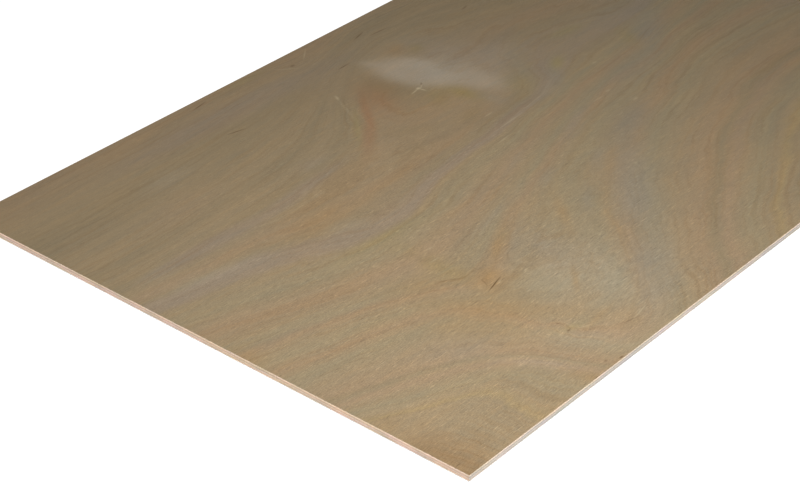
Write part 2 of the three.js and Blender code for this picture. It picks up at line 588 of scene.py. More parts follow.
FACE_BANDS = (
    (0, Tone.BURNT),
    (90, Tone.TAN),
    (180, Tone.TAN),
    (191, Tone.HONEY),
    (206, Tone.TAN),
    (226, Tone.COOL),
    (246, Tone.TAN),
    (264, Tone.SALMON),
    (284, Tone.OLIVE),
    (300, Tone.WARM),
    (382, Tone.COOL),
    (420, Tone.WARM),
    (455, Tone.COOL),
    (485, Tone.TAN),
    (506, Tone.WARM),
    (535, Tone.COOL),
    (570, Tone.TAN),
    (608, Tone.WARM),
    (650, Tone.COOL),
    (690, Tone.TAN),
    (700, Tone.MAUVE),
    (722, Tone.MAUVE),
    (740, Tone.OLIVE),
    (760, Tone.WARM),
    (790, Tone.TAN),
    (822, Tone.OLIVE),
    (846, Tone.TAN),
    (882, Tone.OLIVE),
    (915, Tone.TAN),
    (1050, Tone.OLIVE),
    (1110, Tone.TAN),
    (1235, Tone.WARM),
)

FACE_MARKS = (
    # The closed crack at the apex, and the scars round it.
    Mark(Tone.MARK, (463, 312), (29, 1.5), 15, 1.0),
    Mark(Tone.MARK, (455, 328), (14, 1.4), 66, 0.35),
    Mark(Tone.BURNT, (414, 386), (33, 2.4), -40, 0.5),
    Mark(Tone.SPLINTER, (476, 310), (8, 1.4), 12, 0.45),
    Mark(Tone.SPLINTER, (455, 446), (16, 1.8), -3, 0.4),
    Mark(Tone.SPLINTER, (481, 478), (14, 1.8), -6, 0.35),
    Mark(Tone.SPLINTER, (538, 298), (9, 2.0), 4, 0.4),
    Mark(Tone.MARK, (408, 389), (16, 1.6), -22, 0.45),
    Mark(Tone.MARK, (430, 376), (14, 1.6), -38, 0.4),
    Mark(Tone.MARK, (435, 149), (5, 2.4), -60, 0.5),
    Mark(Tone.MARK, (430, 121), (5, 2.4), 0, 0.6),
    Mark(Tone.MARK, (530, 57), (24, 1.6), -14, 0.4),
    Mark(Tone.MARK, (424, 4), (6, 2.4), 0, 0.7),
    Mark(Tone.MARK, (398, 19), (5, 2.0), 0, 0.45),
    Mark(Tone.MARK, (569, 1062), (24, 2.2), -14, 0.6),
    Mark(Tone.MARK, (598, 1197), (24, 2.0), 9, 0.6),
    Mark(Tone.MARK, (925, 1086), (20, 2.2), 3, 0.6),
    Mark(Tone.MARK, (1056, 1158), (22, 2.4), 14, 0.6),
    Mark(Tone.MARK, (1100, 1138), (30, 2.4), -4, 0.5),
    Mark(Tone.MARK, (856, 1172), (7, 4.0), 0, 0.5),
    Mark(Tone.MARK, (1319, 1069), (14, 2.2), 10, 0.5),
    # A nick in the pale patch's edge, with torn fibres round it.
    Mark(Tone.SPLINTER, (952, 899), (6.5, 5), 0, 0.9),
    Mark(Tone.SPLINTER, (937, 896), (16, 2.4), 10, 0.6),
    Mark(Tone.SPLINTER, (954, 888), (9, 2.8), 100, 0.6),
    Mark(Tone.SPLINTER, (963, 900), (10, 2.0), 30, 0.5),
    Mark(Tone.MARK, (972, 908), (7, 2.6), 40, 0.4),
    # Lifted fibres.
    Mark(Tone.SPLINTER, (560, 60), (32, 1.6), 10, 0.4),
    Mark(Tone.SPLINTER, (460, 107), (32, 1.6), -22, 0.25),
    Mark(Tone.SPLINTER, (809, 1002), (11, 4.0), 60, 0.45),
    Mark(Tone.SPLINTER, (786, 958), (42, 4.5), 62, 0.16),
    Mark(Tone.SPLINTER, (968, 664), (42, 2.4), 4, 0.30),
    Mark(Tone.SPLINTER, (1060, 679), (46, 2.2), 8, 0.12),
    Mark(Tone.SPLINTER, (958, 715), (14, 2.0), 0, 0.35),
    Mark(Tone.SPLINTER, (1211, 523), (9, 4), 0, 0.3),
    Mark(Tone.SPLINTER, (1289, 685), (9, 4), 0, 0.25),
    Mark(Tone.SPLINTER, (1203, 588), (9, 4), 0, 0.25),
    Mark(Tone.SPLINTER, (894, 627), (20, 2.6), 8, 0.3),
    Mark(Tone.SPLINTER, (1161, 582), (18, 2.6), 0, 0.25),
    Mark(Tone.SPLINTER, (990, 369), (8, 3.6), 0, 0.25),
    Mark(Tone.SPLINTER, (835, 1173), (32, 1.8), -42, 0.28),
    Mark(Tone.SPLINTER, (913, 1189), (27, 2.0), 38, 0.35),
)

FACE_FIGURE = Figure(FACE_RINGS, FACE_STAINS, FACE_BANDS, FACE_MARKS)

BACK_RINGS = (
    Ring(0, ((0, 20), (600, 60), (1200, 10), (1800, -30), (2438, 10))),
    Ring(200, ((0, 180), (400, 260), (900, 320), (1400, 240), (1900, 150), (2438, 210))),
    Ring(400, ((0, 380), (400, 470), (900, 590), (1400, 450), (1900, 340), (2438, 420))),
    Ring(600, ((0, 620), (400, 660), (900, 745), (1400, 650), (1900, 540), (2438, 610))),
    Ring(800, ((0, 820), (500, 830), (1000, 860), (1500, 800), (2000, 720), (2438, 790))),
    Ring(1000, ((0, 1010), (600, 980), (1200, 1010), (1800, 930), (2438, 990))),
    Ring(1200, ((0, 1210), (600, 1190), (1200, 1220), (1800, 1180), (2438, 1200))),
)

BACK_STAINS = (
    Stain(Tone.ORANGE, (900, 520), (150, 30), 5, 0.5),
    Stain(Tone.GREY, (1500, 350), (260, 50), -10, 0.5),
    Stain(Tone.LAVENDER, (500, 900), (240, 60), 3, 0.5),
    Stain(Tone.YELLOW, (2050, 800), (200, 46), 6, 0.4),
)

BACK_BANDS = (
    (0, Tone.TAN),
    (150, Tone.SALMON),
    (240, Tone.COOL),
    (330, Tone.TAN),
    (420, Tone.MAUVE),
    (500, Tone.WARM),
    (600, Tone.TAN),
    (700, Tone.OLIVE),
    (790, Tone.MAUVE),
    (880, Tone.TAN),
    (980, Tone.WARM),
    (1080, Tone.COOL),
    (1250, Tone.TAN),
)

BACK_MARKS = (Mark(Tone.MARK, (1720, 610), (24, 2.0), 6, 0.5),)

BACK_FIGURE = Figure(BACK_RINGS, BACK_STAINS, BACK_BANDS, BACK_MARKS)


@dataclass(frozen=True)
class Surface:
    """What the shader needs to know of a surface.

    Attributes:
        colour: Its colour's socket.
        relief: Its relief's socket, from 0 to 1.
        roughness: How matt it is, as a number or a socket.
    """

    colour: Socket
    relief: Socket
    roughness: float | Socket


@dataclass(frozen=True)
class BareHardwood:
    """Hardwood as it comes from the tool, with no varnish, oil or paint.

    It scatters light just under its skin, so it looks warm and matt, and its open fibres make it
    faintly rough.

    Attributes:
        ior: The wood's refractive index.
        gloss: Its specular level, low because the open cells break a reflection up.
        depth: How deep the open fibres lie.
        depth_share: How much of that depth the light shows.
    """

    ior: float = 1.5
    gloss: float = 0.12
    depth: float = 0.15
    depth_share: float = 0.35

    def finish(self, tree: Tree, surface: Surface) -> None:
        """Adds the shader and the material's output.

        Args:
            tree: The material's node tree.
            surface: The wood's surface.
        """
        bump = add_node(
            tree,
            "ShaderNodeBump",
            {"Height": surface.relief, "Strength": self.depth_share, "Distance": self.depth * MM},
        )
        shader = add_node(
            tree,
            "ShaderNodeBsdfPrincipled",
            {
                "Base Color": surface.colour,
                "Roughness": surface.roughness,
                "Normal": bump.outputs[0],
                "IOR": self.ior,
                "Specular IOR Level": self.gloss,
            },
        )
        add_node(tree, "ShaderNodeOutputMaterial", {0: shader.outputs[0]})


@dataclass(frozen=True)
class SawnVeneer:
    """Hardwood veneer sawn square through its glued stack with a fine blade, and left bare.

    The cut shows the wood as a solid: pale long fibres where the blade ran with the grain, and darker
    open ends of the fibres where it ran across. A thin brown film of glue darkens the joint on each
    side, and the teeth leave faint upright lines.

    Attributes:
        grain: Which way the fibres run.
        end_tone: The tone where the blade cut across the fibres.
        long_tone: The tone where it cut along them.
        bottom: The height of the veneer's lower side.
        top: The height of its upper side.
        glued_below: Whether another veneer is glued on below.
        glued_above: Whether another veneer is glued on above.
        end_grain: How squarely the cut meets the fibres where their ends start to show, and where they
            show in full.
        strip_length: How far along the edge the wood keeps one tone.
        strip_height: How far up it does.
        hue_swing: How far red, green and blue each stray from stretch to stretch of the edge.
        fibre_length: The length of a bundle of fibres.
        fibre_width: Its width.
        tooth_spacing: From one mark of the blade's teeth to the next.
        tooth_height: How far up a mark keeps its shape.
        shade: How much the fibres, the stretches and the teeth each shade the wood.
        glue_film: How far from a joint the glue shows.
        glue_share: How much of the glue's tone shows at the joint.
        roughness: How matt the sawn wood is.
    """

    grain: Grain
    end_tone: Tone
    long_tone: Tone
    bottom: float
    top: float
    glued_below: bool = True
    glued_above: bool = True
    end_grain: Span = (0.3, 0.6)
    strip_length: float = 45.0
    strip_height: float = 20 / 3
    hue_swing: Triple = (0.30, 0.12, 0.46)
    fibre_length: float = 40.0
    fibre_width: float = 0.9  # real fibres are about 0.03, drawn in bundles that can be seen
    tooth_spacing: float = 3.0
    tooth_height: float = 50.0
    shade: Shares = (0.30, 0.40, 0.16)
    glue_film: float = 0.16  # a real film is about 0.1
    glue_share: float = 0.7
    roughness: float = 0.8

    def surface(self, tree: Tree, place: Socket, normal: Socket) -> Surface:
        """Adds the nodes for the cut.

        Args:
            tree: The material's node tree.
            place: Object coordinates, in metres.
            normal: The surface's direction on the object.

        Returns:
            The cut's surface.
        """
        bundle = [self.fibre_width] * 3
        bundle[self.grain.value] = self.fibre_length
        strands = cell_noise(tree, place, tuple(bundle), octaves=3.0, roughness=0.65)
        strip = (self.strip_length, self.strip_length, self.strip_height)
        strips = cell_noise(tree, place, strip, octaves=2.0)
        tooth = (self.tooth_spacing, self.tooth_spacing, self.tooth_height)
        teeth = cell_noise(tree, place, tooth, octaves=1.0)
        tint = add_node(
            tree,
            "ShaderNodeVectorMath",
            {
                0: strips.outputs["Color"],
                1: self.hue_swing,
                2: tuple(1 - swing * NOISE_MEAN for swing in self.hue_swing),
            },
            operation="MULTIPLY_ADD",
        )
        axes = add_node(tree, "ShaderNodeSeparateXYZ", {0: normal})
        facing = add_node(
            tree, "ShaderNodeMath", {0: axes.outputs[self.grain.value]}, operation="ABSOLUTE"
        )
        start, full = self.end_grain
        cut_ends = add_node(
            tree, "ShaderNodeMapRange", {"Value": facing.outputs[0], "From Min": start, "From Max": full}
        )
        wood = add_node(
            tree,
            "ShaderNodeMix",
            {0: cut_ends.outputs[0], 6: linear(self.long_tone.value), 7: linear(self.end_tone.value)},
            data_type="RGBA",
        )
        tinted = add_node(
            tree, "ShaderNodeVectorMath", {0: wood.outputs[2], 1: tint.outputs[0]}, operation="MULTIPLY"
        )
        noises = (strands.outputs[0], strips.outputs[0], teeth.outputs[0])
        shaded = add_node(
            tree,
            "ShaderNodeVectorMath",
            {0: tinted.outputs[0], 1: weigh(tree, noises, self.shade, 1.0)},
            operation="MULTIPLY",
        )
        glued = add_node(
            tree,
            "ShaderNodeMix",
            {0: self._glue(tree, place), 6: shaded.outputs[0], 7: linear(Tone.GLUE.value)},
            data_type="RGBA",
        )
        return Surface(glued.outputs[2], strands.outputs[0], self.roughness)

    def _glue(self, tree: Tree, place: Socket) -> Socket:
        """Adds the nodes for how much glue shows at a height.

        Args:
            tree: The material's node tree.
            place: Object coordinates, in metres.

        Returns:
            The glue's share, from 0 to 1.
        """
        height = add_node(tree, "ShaderNodeSeparateXYZ", {0: place}).outputs[2]
        shares = []
        for joint, glued in ((self.bottom, self.glued_below), (self.top, self.glued_above)):
            gap = add_node(tree, "ShaderNodeMath", {0: height, 1: joint * MM}, operation="SUBTRACT")
            apart = add_node(tree, "ShaderNodeMath", {0: gap.outputs[0]}, operation="ABSOLUTE")
            shares.append(
                add_node(
                    tree,
                    "ShaderNodeMapRange",
                    {
                        "Value": apart.outputs[0],
                        "From Min": 0.0,
                        "From Max": self.glue_film * MM,
                        "To Min": self.glue_share if glued else 0.0,
                        "To Max": 0.0,
                    },
                ).outputs[0]
            )
        return add_node(
            tree, "ShaderNodeMath", {0: shares[0], 1: shares[1]}, operation="MAXIMUM"
        ).outputs[0]


@dataclass(frozen=True)
class PeeledVeneer:
    """Birch-like hardwood peeled from the log on a lathe, pressed flat and sanded, and left bare.

    Peeling gives wide wandering bands of tan, orange brown and mauve grey where growth rings cross the
    surface at a slant. Fine ring lines run beside them, and short open pores lie along the grain. Bare
    sanded wood is matt, with a weak sheen.

    The size of a mark is its length along the grain and its width. A span of noise gives the noise at
    which a mark starts to show, and that at which it shows in full.

    Attributes:
        figure: The veneer's own rings, stains and scars.
        length: The veneer's size along the sheet.
        width: Its size across it.
        arris: The radius of its eased edges.
        ring_spacing: From one year's ring to the next, where the knife cut them at a slant.
        line_spacing: From one dark late-wood line to the next.
        line_length: How far a line runs before it fades.
        wavers: The length and width of each wave that the rings make, and how far they swing.
        blotches: The size of a broad soft blotch.
        streaks: The size of a streak.
        line_patches: The size of a patch where the lines show strongly or weakly.
        pores: The size of a cluster of pores.
        specks: The size of a bundle of fibres.
        flecks: The size of a pale ray or a dark open pore that stands alone.
        dark_line: The span of noise that makes a dark late-wood line.
        pale_fleck: The span that makes a pale fleck.
        dark_fleck: The span that makes a dark one, from high to low.
        line_patch: The span over which the lines go from weak to strong.
        line_strength: How strong they are at its two ends.
        line_warmth: How much the rings, the late wood and the dark lines each warm the wood.
        patch_warmth: How much the blotches and the streaks do.
        mean_warmth: How warm the wood is on the whole, from cool at 0 to warm at 1.
        line_light: How much the rings and the dark lines each lighten the wood.
        patch_light: How much the streaks and the blotches do.
        fine_light: How much the pores, the specks, the pale flecks and the dark ones do.
        mean_light: How light the wood is on the whole, where 1 is its own tone.
        torn_centre: The place round which the knife tore the fibres most.
        torn_near: How far from it the fine marks are at their strongest.
        torn_far: How far from it they have faded.
        torn_least: How strong they are beyond that, where 1 is their full strength.
        scar_edge: How far out a scar starts to fade and is gone, where 1 is its reach.
        worn_and_highlit_edge: How far in from an edge the sander bared fresh wood, and a highlight is
            painted.
        worn_and_highlit_share: How much of that paler tone, fresh wood and painted highlight, shows there.
        facing: How squarely a place faces up or down where the peeled side starts, and where it is whole.
        relief_span: The relief of the pits and that of the tops.
        roughness: How matt the sanded wood is on the whole.
        sheen: How much more matt its pits are than that, and how much less its tops.
        cool: The colour factor of the early wood.
        warm: The colour factor of the late wood.
    """

    figure: Figure
    length: float
    width: float
    arris: float
    ring_spacing: float = 17.0
    line_spacing: float = 8.0
    line_length: float = 420.0
    wavers: tuple[Triple, ...] = ((260.0, 70.0, 26.0), (80.0, 18.0, 15.0), (20.0, 6.0, 5.0))
    blotches: Span = (190.0, 70.0)
    streaks: Span = (70.0, 9.0)
    line_patches: Span = (260.0, 90.0)
    pores: Span = (16.0, 2.4)  # real pores are about 5 by 0.2, drawn in clusters that can be seen
    specks: Span = (4.0, 1.8)  # real fibre bundles are about 0.1 wide, drawn as wide as they need to show
    flecks: Span = (24.0, 1.8)  # real rays are about 0.3 wide, drawn as wide as they need to show
    dark_line: Span = (0.50, 0.62)
    pale_fleck: Span = (0.62, 0.74)
    dark_fleck: Span = (0.38, 0.26)
    line_patch: Span = (0.35, 0.65)
    line_strength: Span = (0.3, 1.35)
    line_warmth: Shares = (1.0, 0.5, 0.8)
    patch_warmth: Shares = (1.1, 1.3)
    mean_warmth: float = 0.45
    line_light: Shares = (0.20, -0.14)
    patch_light: Shares = (0.10, 0.12)
    fine_light: Shares = (0.34, 0.79, 0.81, -0.63)
    mean_light: float = 1.02
    torn_centre: Point = (420.0, 200.0)
    torn_near: float = 250.0
    torn_far: float = 900.0
    torn_least: float = 0.34
    scar_edge: Span = (0.3, 1.2)
    worn_and_highlit_edge: float = 0.05
    worn_and_highlit_share: float = 0.8
    facing: Span = (0.75, 0.9)
    relief_span: Span = (0.3, 0.7)
    roughness: float = 0.68
    sheen: float = 0.06
    cool: Triple = (0.968, 1.002, 1.02)
    warm: Triple = (1.032, 0.998, 0.935)

    def laid_over(self, edges: Surface, tree: Tree, place: Socket, normal: Socket) -> Surface:
        """Adds the nodes for the peeled side, and leaves the sawn edges as they are.

        Args:
            edges: The surface of the sawn edges.
            tree: The material's node tree.
            place: Object coordinates, in metres.
            normal: The surface's direction on the object.

        Returns:
            The whole veneer's surface.
        """
        colour, pores = self._colour(tree, place)
        axes = add_node(tree, "ShaderNodeSeparateXYZ", {0: normal})
        upright = add_node(tree, "ShaderNodeMath", {0: axes.outputs[2]}, operation="ABSOLUTE")
        start, whole = self.facing
        flat = add_node(
            tree, "ShaderNodeMapRange", {"Value": upright.outputs[0], "From Min": start, "From Max": whole}
        ).outputs[0]
        both = add_node(tree, "ShaderNodeMix", {0: flat, 6: edges.colour, 7: colour}, data_type="RGBA")
        relief = add_node(tree, "ShaderNodeMix", {0: flat, 2: edges.relief, 3: pores}).outputs[0]
        roughness = add_node(
            tree,
            "ShaderNodeMapRange",
            {
                "Value": relief,
                "From Min": self.relief_span[0],
                "From Max": self.relief_span[1],
                "To Min": self.roughness + self.sheen,
                "To Max": self.roughness - self.sheen,
            },
        ).outputs[0]
        return Surface(both.outputs[2], relief, roughness)

    def _colour(self, tree: Tree, place: Socket) -> tuple[Socket, Socket]:
        """Adds the nodes for the peeled side's colour.

        Args:
            tree: The material's node tree.
            place: Object coordinates, in metres.

        Returns:
            The colour's socket and the pores' socket, from 0 to 1.
        """
        level = self._wavering_level(tree, place)
        stained = self._stained(tree, self._banded(tree, level))
        rings = self._lines(tree, place, level, self.ring_spacing)
        late_wood = self._lines(tree, place, level, self.line_spacing)
        blotches = self._noise(tree, place, self.blotches)
        streaks = self._noise(tree, place, self.streaks)
        pores = self._noise(tree, place, self.pores)
        specks = self._noise(tree, place, self.specks, octaves=1.0)
        flecks = self._noise(tree, place, self.flecks, octaves=1.0)
        pale_fleck = self._stretched(tree, flecks, self.pale_fleck)
        dark_fleck = self._stretched(tree, flecks, self.dark_fleck)
        dark_line = self._stretched(tree, late_wood, self.dark_line)
        patches = self._noise(tree, place, self.line_patches, octaves=1.0)
        shown = self._stretched(tree, patches, self.line_patch, self.line_strength)
        line_warmth = weigh(tree, (rings, late_wood, dark_line), self.line_warmth)
        patch_warmth = weigh(tree, (blotches, streaks), self.patch_warmth, self.mean_warmth)
        warmth = add_node(
            tree, "ShaderNodeMath", {0: line_warmth, 1: shown, 2: patch_warmth}, operation="MULTIPLY_ADD"
        ).outputs[0]
        tint = add_node(
            tree,
            "ShaderNodeMix",
            {0: warmth, 4: self.cool, 5: self.warm},
            data_type="VECTOR",
            clamp_factor=True,
        )
        toned = add_node(
            tree, "ShaderNodeVectorMath", {0: stained, 1: tint.outputs[1]}, operation="MULTIPLY"
        ).outputs[0]
        line_light = weigh(tree, (rings, dark_line), self.line_light)
        patch_light = weigh(tree, (streaks, blotches), self.patch_light, self.mean_light)
        slow_light = add_node(
            tree, "ShaderNodeMath", {0: line_light, 1: shown, 2: patch_light}, operation="MULTIPLY_ADD"
        ).outputs[0]
        fine_light = weigh(tree, (pores, specks, pale_fleck, dark_fleck), self.fine_light)
        light = add_node(
            tree,
            "ShaderNodeMath",
            {0: fine_light, 1: self._torn(tree, place), 2: slow_light},
            operation="MULTIPLY_ADD",
        ).outputs[0]
        shaded = add_node(tree, "ShaderNodeVectorMath", {0: toned, 1: light}, operation="MULTIPLY")
        return self._worn_and_highlit(tree, place, self._scarred(tree, place, shaded.outputs[0])), pores

    def _spot(self, point: Point) -> Triple:
        """Gives a place on the sheet as object coordinates, with no height."""
        return (point[0] - self.length / 2) * MM, (point[1] - self.width / 2) * MM, 0.0

    def _torn(self, tree: Tree, place: Socket) -> Socket:
        """Adds the nodes for how much the knife tore the fibres.

        Args:
            tree: The material's node tree.
            place: Object coordinates, in metres.

        Returns:
            A share, from torn_least to 1.
        """
        centre = self._spot(self.torn_centre)
        apart = add_node(tree, "ShaderNodeVectorMath", {0: place, 1: centre}, operation="DISTANCE")
        return add_node(
            tree,
            "ShaderNodeMapRange",
            {
                "Value": apart.outputs["Value"],
                "From Min": self.torn_near * MM,
                "From Max": self.torn_far * MM,
                "To Min": 1.0,
                "To Max": self.torn_least,
            },
        ).outputs[0]

    @staticmethod
    def _stretched(tree: Tree, noise: Socket, span: Span, shown: Span = (0.5, 1.0)) -> Socket:
        """Picks out the peaks or the pits of a noise, as lines or flecks on a plain ground.

        Args:
            tree: The material's node tree.
            noise: The noise's socket.
            span: The noise at which the lines start to show, and at which they show in full.
            shown: What the plain ground gives, and what a line in full gives.

        Returns:
            The lines' socket.
        """
        start, full = span
        least, most = shown
        return add_node(
            tree,
            "ShaderNodeMapRange",
            {"Value": noise, "From Min": start, "From Max": full, "To Min": least, "To Max": most},
        ).outputs[0]

    @staticmethod
    def _noise(tree: Tree, place: Socket, size: Span, octaves: float = 2.0) -> Socket:
        """Adds noise whose cells lie along the grain.

        Args:
            tree: The material's node tree.
            place: Object coordinates, in metres.
            size: A cell's length along the grain, and its width.
            octaves: How many finer noises are laid over the first.

        Returns:
            The noise's socket, from 0 to 1.
        """
        length, width = size
        return cell_noise(tree, place, (length, width, width), octaves, roughness=0.55).outputs[0]

    def _wavering_level(self, tree: Tree, place: Socket) -> Socket:
        """Adds the nodes that make the rings waver, as they do round every bundle of fibres.

        Args:
            tree: The material's node tree.
            place: Object coordinates, in metres.

        Returns:
            The ring level's socket, where 1 is RING_SCALE mm.
        """
        level = add_node(
            tree, "ShaderNodeAttribute", attribute_name=RING_ATTRIBUTE, attribute_type="GEOMETRY"
        ).outputs["Fac"]
        for length, width, swing in self.wavers:
            noise = self._noise(tree, place, (length, width))
            centred = add_node(tree, "ShaderNodeMath", {0: noise, 1: NOISE_MEAN}, operation="SUBTRACT")
            level = add_node(
                tree,
                "ShaderNodeMath",
                {0: centred.outputs[0], 1: swing / RING_SCALE, 2: level},
                operation="MULTIPLY_ADD",
            ).outputs[0]
        return level

    def _banded(self, tree: Tree, level: Socket) -> Socket:
        """Adds the ramp from ring level to tone.

        Args:
            tree: The material's node tree.
            level: The ring level's socket.

        Returns:
            The colour's socket.
        """
        ramp = add_node(tree, "ShaderNodeValToRGB", {0: level})
        stops = ramp.color_ramp.elements
        while len(stops) < len(self.figure.bands):
            stops.new(1.0)
        for stop, (at, tone) in zip(stops, self.figure.bands):
            stop.position = at / RING_SCALE
            stop.color = linear(tone.value)
        return ramp.outputs[0]

    @staticmethod
    def _stained(tree: Tree, wood: Socket) -> Socket:
        """Lays the figure's stains over a colour.

        Args:
            tree: The material's node tree.
            wood: The colour's socket.

        Returns:
            The stained colour's socket.
        """
        stain = add_node(
            tree, "ShaderNodeAttribute", attribute_name=STAIN_ATTRIBUTE, attribute_type="GEOMETRY"
        )
        bare = add_node(
            tree, "ShaderNodeMath", {0: 1.0, 1: stain.outputs["Alpha"]}, operation="SUBTRACT"
        )
        return add_node(
            tree,
            "ShaderNodeVectorMath",
            {0: wood, 1: bare.outputs[0], 2: stain.outputs["Color"]},
            operation="MULTIPLY_ADD",
        ).outputs[0]

    def _lines(self, tree: Tree, place: Socket, level: Socket, spacing: float) -> Socket:
        """Adds lines that run with the rings.

        Args:
            tree: The material's node tree.
            place: Object coordinates, in metres.
            level: The ring level's socket.
            spacing: From one line to the next.

        Returns:
            The lines' socket, from 0 to 1.
        """
        along = add_node(tree, "ShaderNodeSeparateXYZ", {0: place})
        run = add_node(
            tree,
            "ShaderNodeMath",
            {0: along.outputs[0], 1: 1 / (self.line_length * MM)},
            operation="MULTIPLY",
        )
        out = add_node(tree, "ShaderNodeMath", {0: level, 1: RING_SCALE / spacing}, operation="MULTIPLY")
        # The spacing as a third coordinate keeps lines of two spacings from looking alike.
        both = add_node(tree, "ShaderNodeCombineXYZ", {0: run.outputs[0], 1: out.outputs[0], 2: spacing})
        return add_node(
            tree,
            "ShaderNodeTexNoise",
            {"Vector": both.outputs[0], "Scale": 1.0, "Detail": 2.0, "Roughness": 0.6},
        ).outputs[0]

    def _scarred(self, tree: Tree, place: Socket, colour: Socket) -> Socket:
        """Lays the figure's small scars over a colour.

        Args:
            tree: The material's node tree.
            place: Object coordinates, in metres.
            colour: The colour's socket.

        Returns:
            The scarred colour's socket.
        """
        start, gone = self.scar_edge
        for mark in self.figure.marks:
            centred = add_node(
                tree, "ShaderNodeVectorMath", {0: place, 1: self._spot(mark.centre)}, operation="SUBTRACT"
            )
            turned = add_node(
                tree,
                "ShaderNodeVectorRotate",
                {"Vector": centred.outputs[0], "Angle": -math.radians(mark.turn)},
                rotation_type="Z_AXIS",
            )
            scaled = add_node(
                tree,
                "ShaderNodeVectorMath",
                {0: turned.outputs[0], 1: (1 / (mark.reach[0] * MM), 1 / (mark.reach[1] * MM), 0.0)},
                operation="MULTIPLY",
            )
            apart = add_node(tree, "ShaderNodeVectorMath", {0: scaled.outputs[0]}, operation="LENGTH")
            share = add_node(
                tree,
                "ShaderNodeMapRange",
                {
                    "Value": apart.outputs["Value"],
                    "From Min": start,
                    "From Max": gone,
                    "To Min": mark.strength,
                    "To Max": 0.0,
                },
            )
            colour = add_node(
                tree,
                "ShaderNodeMix",
                {0: share.outputs[0], 6: colour, 7: linear(mark.tone.value)},
                data_type="RGBA",
            ).outputs[2]
        return colour

    def _worn_and_highlit(self, tree: Tree, place: Socket, colour: Socket) -> Socket:
        """Lightens the wood beside the eased edges: bared fresh wood, and a painted highlight on the edge.

        Args:
            tree: The material's node tree.
            place: Object coordinates, in metres.
            colour: The colour's socket.

        Returns:
            The lightened colour's socket.
        """
        axes = add_node(tree, "ShaderNodeSeparateXYZ", {0: place})
        bared_and_lit = []
        for axis, half in ((0, self.length / 2), (1, self.width / 2)):
            size = add_node(tree, "ShaderNodeMath", {0: axes.outputs[axis]}, operation="ABSOLUTE")
            bared_and_lit.append(
                add_node(
                    tree,
                    "ShaderNodeMapRange",
                    {
                        "Value": size.outputs[0],
                        "From Min": (half - self.arris - self.worn_and_highlit_edge) * MM,
                        "From Max": (half - self.arris) * MM,
                        "To Min": 0.0,
                        "To Max": self.worn_and_highlit_share,
                    },
                ).outputs[0]
            )
        # Painted highlight: the thin band beside the eased edge is mixed towards the face edge's pale tone.
        share = add_node(tree, "ShaderNodeMath", {0: bared_and_lit[0], 1: bared_and_lit[1]}, operation="MAXIMUM")
        return add_node(
            tree,
            "ShaderNodeMix",
            {0: share.outputs[0], 6: colour, 7: linear(Tone.FACE_LONG.value)},
            data_type="RGBA",
        ).outputs[2]


@dataclass(frozen=True)
class BakeLayout:
    """How a veneer's bake map is shared out, in parts of the map's height.

    Attributes:
        broad: The side that can be seen, or the upper side of an inner veneer.
        strip: Each of the four edges.
        spare: The other side, which is glued on.
        gap: From one of them to the next.
        rim: What stays free at the map's top and bottom.
        margin: What stays free at its left and right, as a part of its width.
    """

    broad: float
    strip: float
    spare: float
    gap: float
    rim: float = 0.008
    margin: float = 0.01


OUTER_MAP = BakeLayout(broad=0.90, strip=0.011, spare=0.03, gap=0.006)
INNER_MAP = BakeLayout(broad=0.06, strip=0.19, spare=0.06, gap=0.02)


